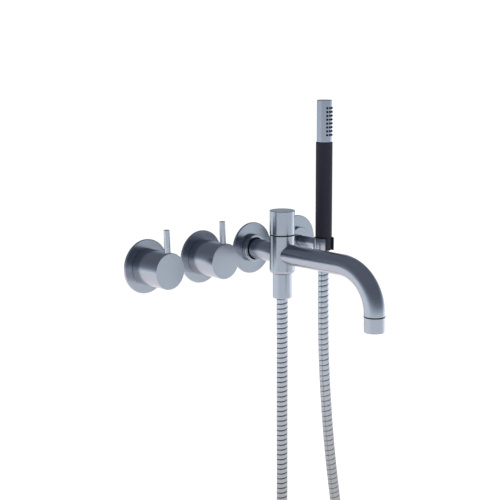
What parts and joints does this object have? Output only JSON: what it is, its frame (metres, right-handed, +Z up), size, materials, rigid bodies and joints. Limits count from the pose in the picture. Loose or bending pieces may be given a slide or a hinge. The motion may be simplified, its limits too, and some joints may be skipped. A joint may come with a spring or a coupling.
{
  "type": "wall mounted bath faucet",
  "caption": "Wall mounted bath faucet in brushed steel with lever valves, a bent spout with a diverter, and a stick hand shower on a metal hose in its holder.",
  "frame": {"origin": "on the finished wall, on the spout's axis", "axes": "+X right along the row of rosettes seen from the room, -Y out of the wall, +Z up"},
  "size_m": [0.3128, 0.2219, 0.8069],
  "materials": {
    "brushed_steel": "brushed, satin",
    "hose_steel": "wound metal strip, satin",
    "brass": "machined",
    "ceramic": "lapped ceramic",
    "rubber": "moulded",
    "black_plastic": "fine satin",
    "white_plastic": "moulded"
  },
  "bodies": {
    "root": {"aerator_housing": "brushed_steel", "aerator_insert": "white_plastic", "aerator_seal": "rubber", "check_valve": "white_plastic", "cold_fixed_disc": "ceramic", "cold_guide_sleeve": "brass", "cold_headwork": "brass", "cold_rosette": "brushed_steel", "cold_seat_seal": "rubber", "collar_seal": "rubber", "diverter_body": "brushed_steel", "diverter_cartridge": "brass", "groove_ring": "rubber", "holder_arm": "brushed_steel", "holder_collar": "brushed_steel", "holder_grub_screw": "brushed_steel", "holder_liner": "black_plastic", "holder_ring": "brushed_steel", "holder_rosette": "brushed_steel", "holder_stud": "brushed_steel", "hose": "hose_steel", "hot_fixed_disc": "ceramic", "hot_guide_sleeve": "brass", "hot_headwork": "brass", "hot_rosette": "brushed_steel", "hot_seat_seal": "rubber", "inlet_pipe": "brushed_steel", "lower_hose_ferrule": "brass", "lower_hose_nut": "brushed_steel", "lower_hose_washer": "rubber", "spout_collar": "brushed_steel", "spout_rosette": "brushed_steel", "spout_tube": "brushed_steel"},
    "hot_handle": {"hot_knob": "brushed_steel", "hot_lever": "brushed_steel", "hot_grub_screw": "brushed_steel", "hot_spindle": "brass", "hot_circlip": "brushed_steel", "hot_moving_disc": "ceramic"},
    "cold_handle": {"cold_knob": "brushed_steel", "cold_lever": "brushed_steel", "cold_grub_screw": "brushed_steel", "cold_spindle": "brass", "cold_circlip": "brushed_steel", "cold_moving_disc": "ceramic"},
    "diverter_handle": {"diverter_knob": "brushed_steel", "diverter_spindle": "brass", "diverter_grub_screw": "brushed_steel"},
    "hose_end": {"upper_hose_ferrule": "brass"},
    "handset": {"handset_grip": "black_plastic", "handset_head": "brushed_steel", "nozzle_insert": "rubber", "handset_core_tube": "white_plastic", "handset_connector": "brass", "flow_restrictor": "white_plastic", "upper_hose_nut": "black_plastic", "upper_hose_washer": "rubber"}
  },
  "joints": [
    {"name": "hot_turn", "type": "hinge", "parent": "root", "child": "hot_handle", "pos_m": [-0.1592, -0.02, 0], "axis": [0, -1, 0], "range_deg": [0, 90]},
    {"name": "cold_turn", "type": "hinge", "parent": "root", "child": "cold_handle", "pos_m": [-0.079, -0.02, 0], "axis": [0, 1, 0], "range_deg": [0, 90]},
    {"name": "diverter_turn", "type": "hinge", "parent": "root", "child": "diverter_handle", "pos_m": [0, -0.052, 0.03], "axis": [0, 0, 1], "range_deg": [0, 90]},
    {"name": "handset_lift", "type": "slide", "parent": "root", "child": "hose_end", "axis": [0, 0, 1], "range_m": [0, 0.03]},
    {"name": "handset_swivel", "type": "hinge", "parent": "hose_end", "child": "handset", "pos_m": [0.0743, -0.0468, 0], "axis": [0, 0, 1], "continuous": true}
  ]
}
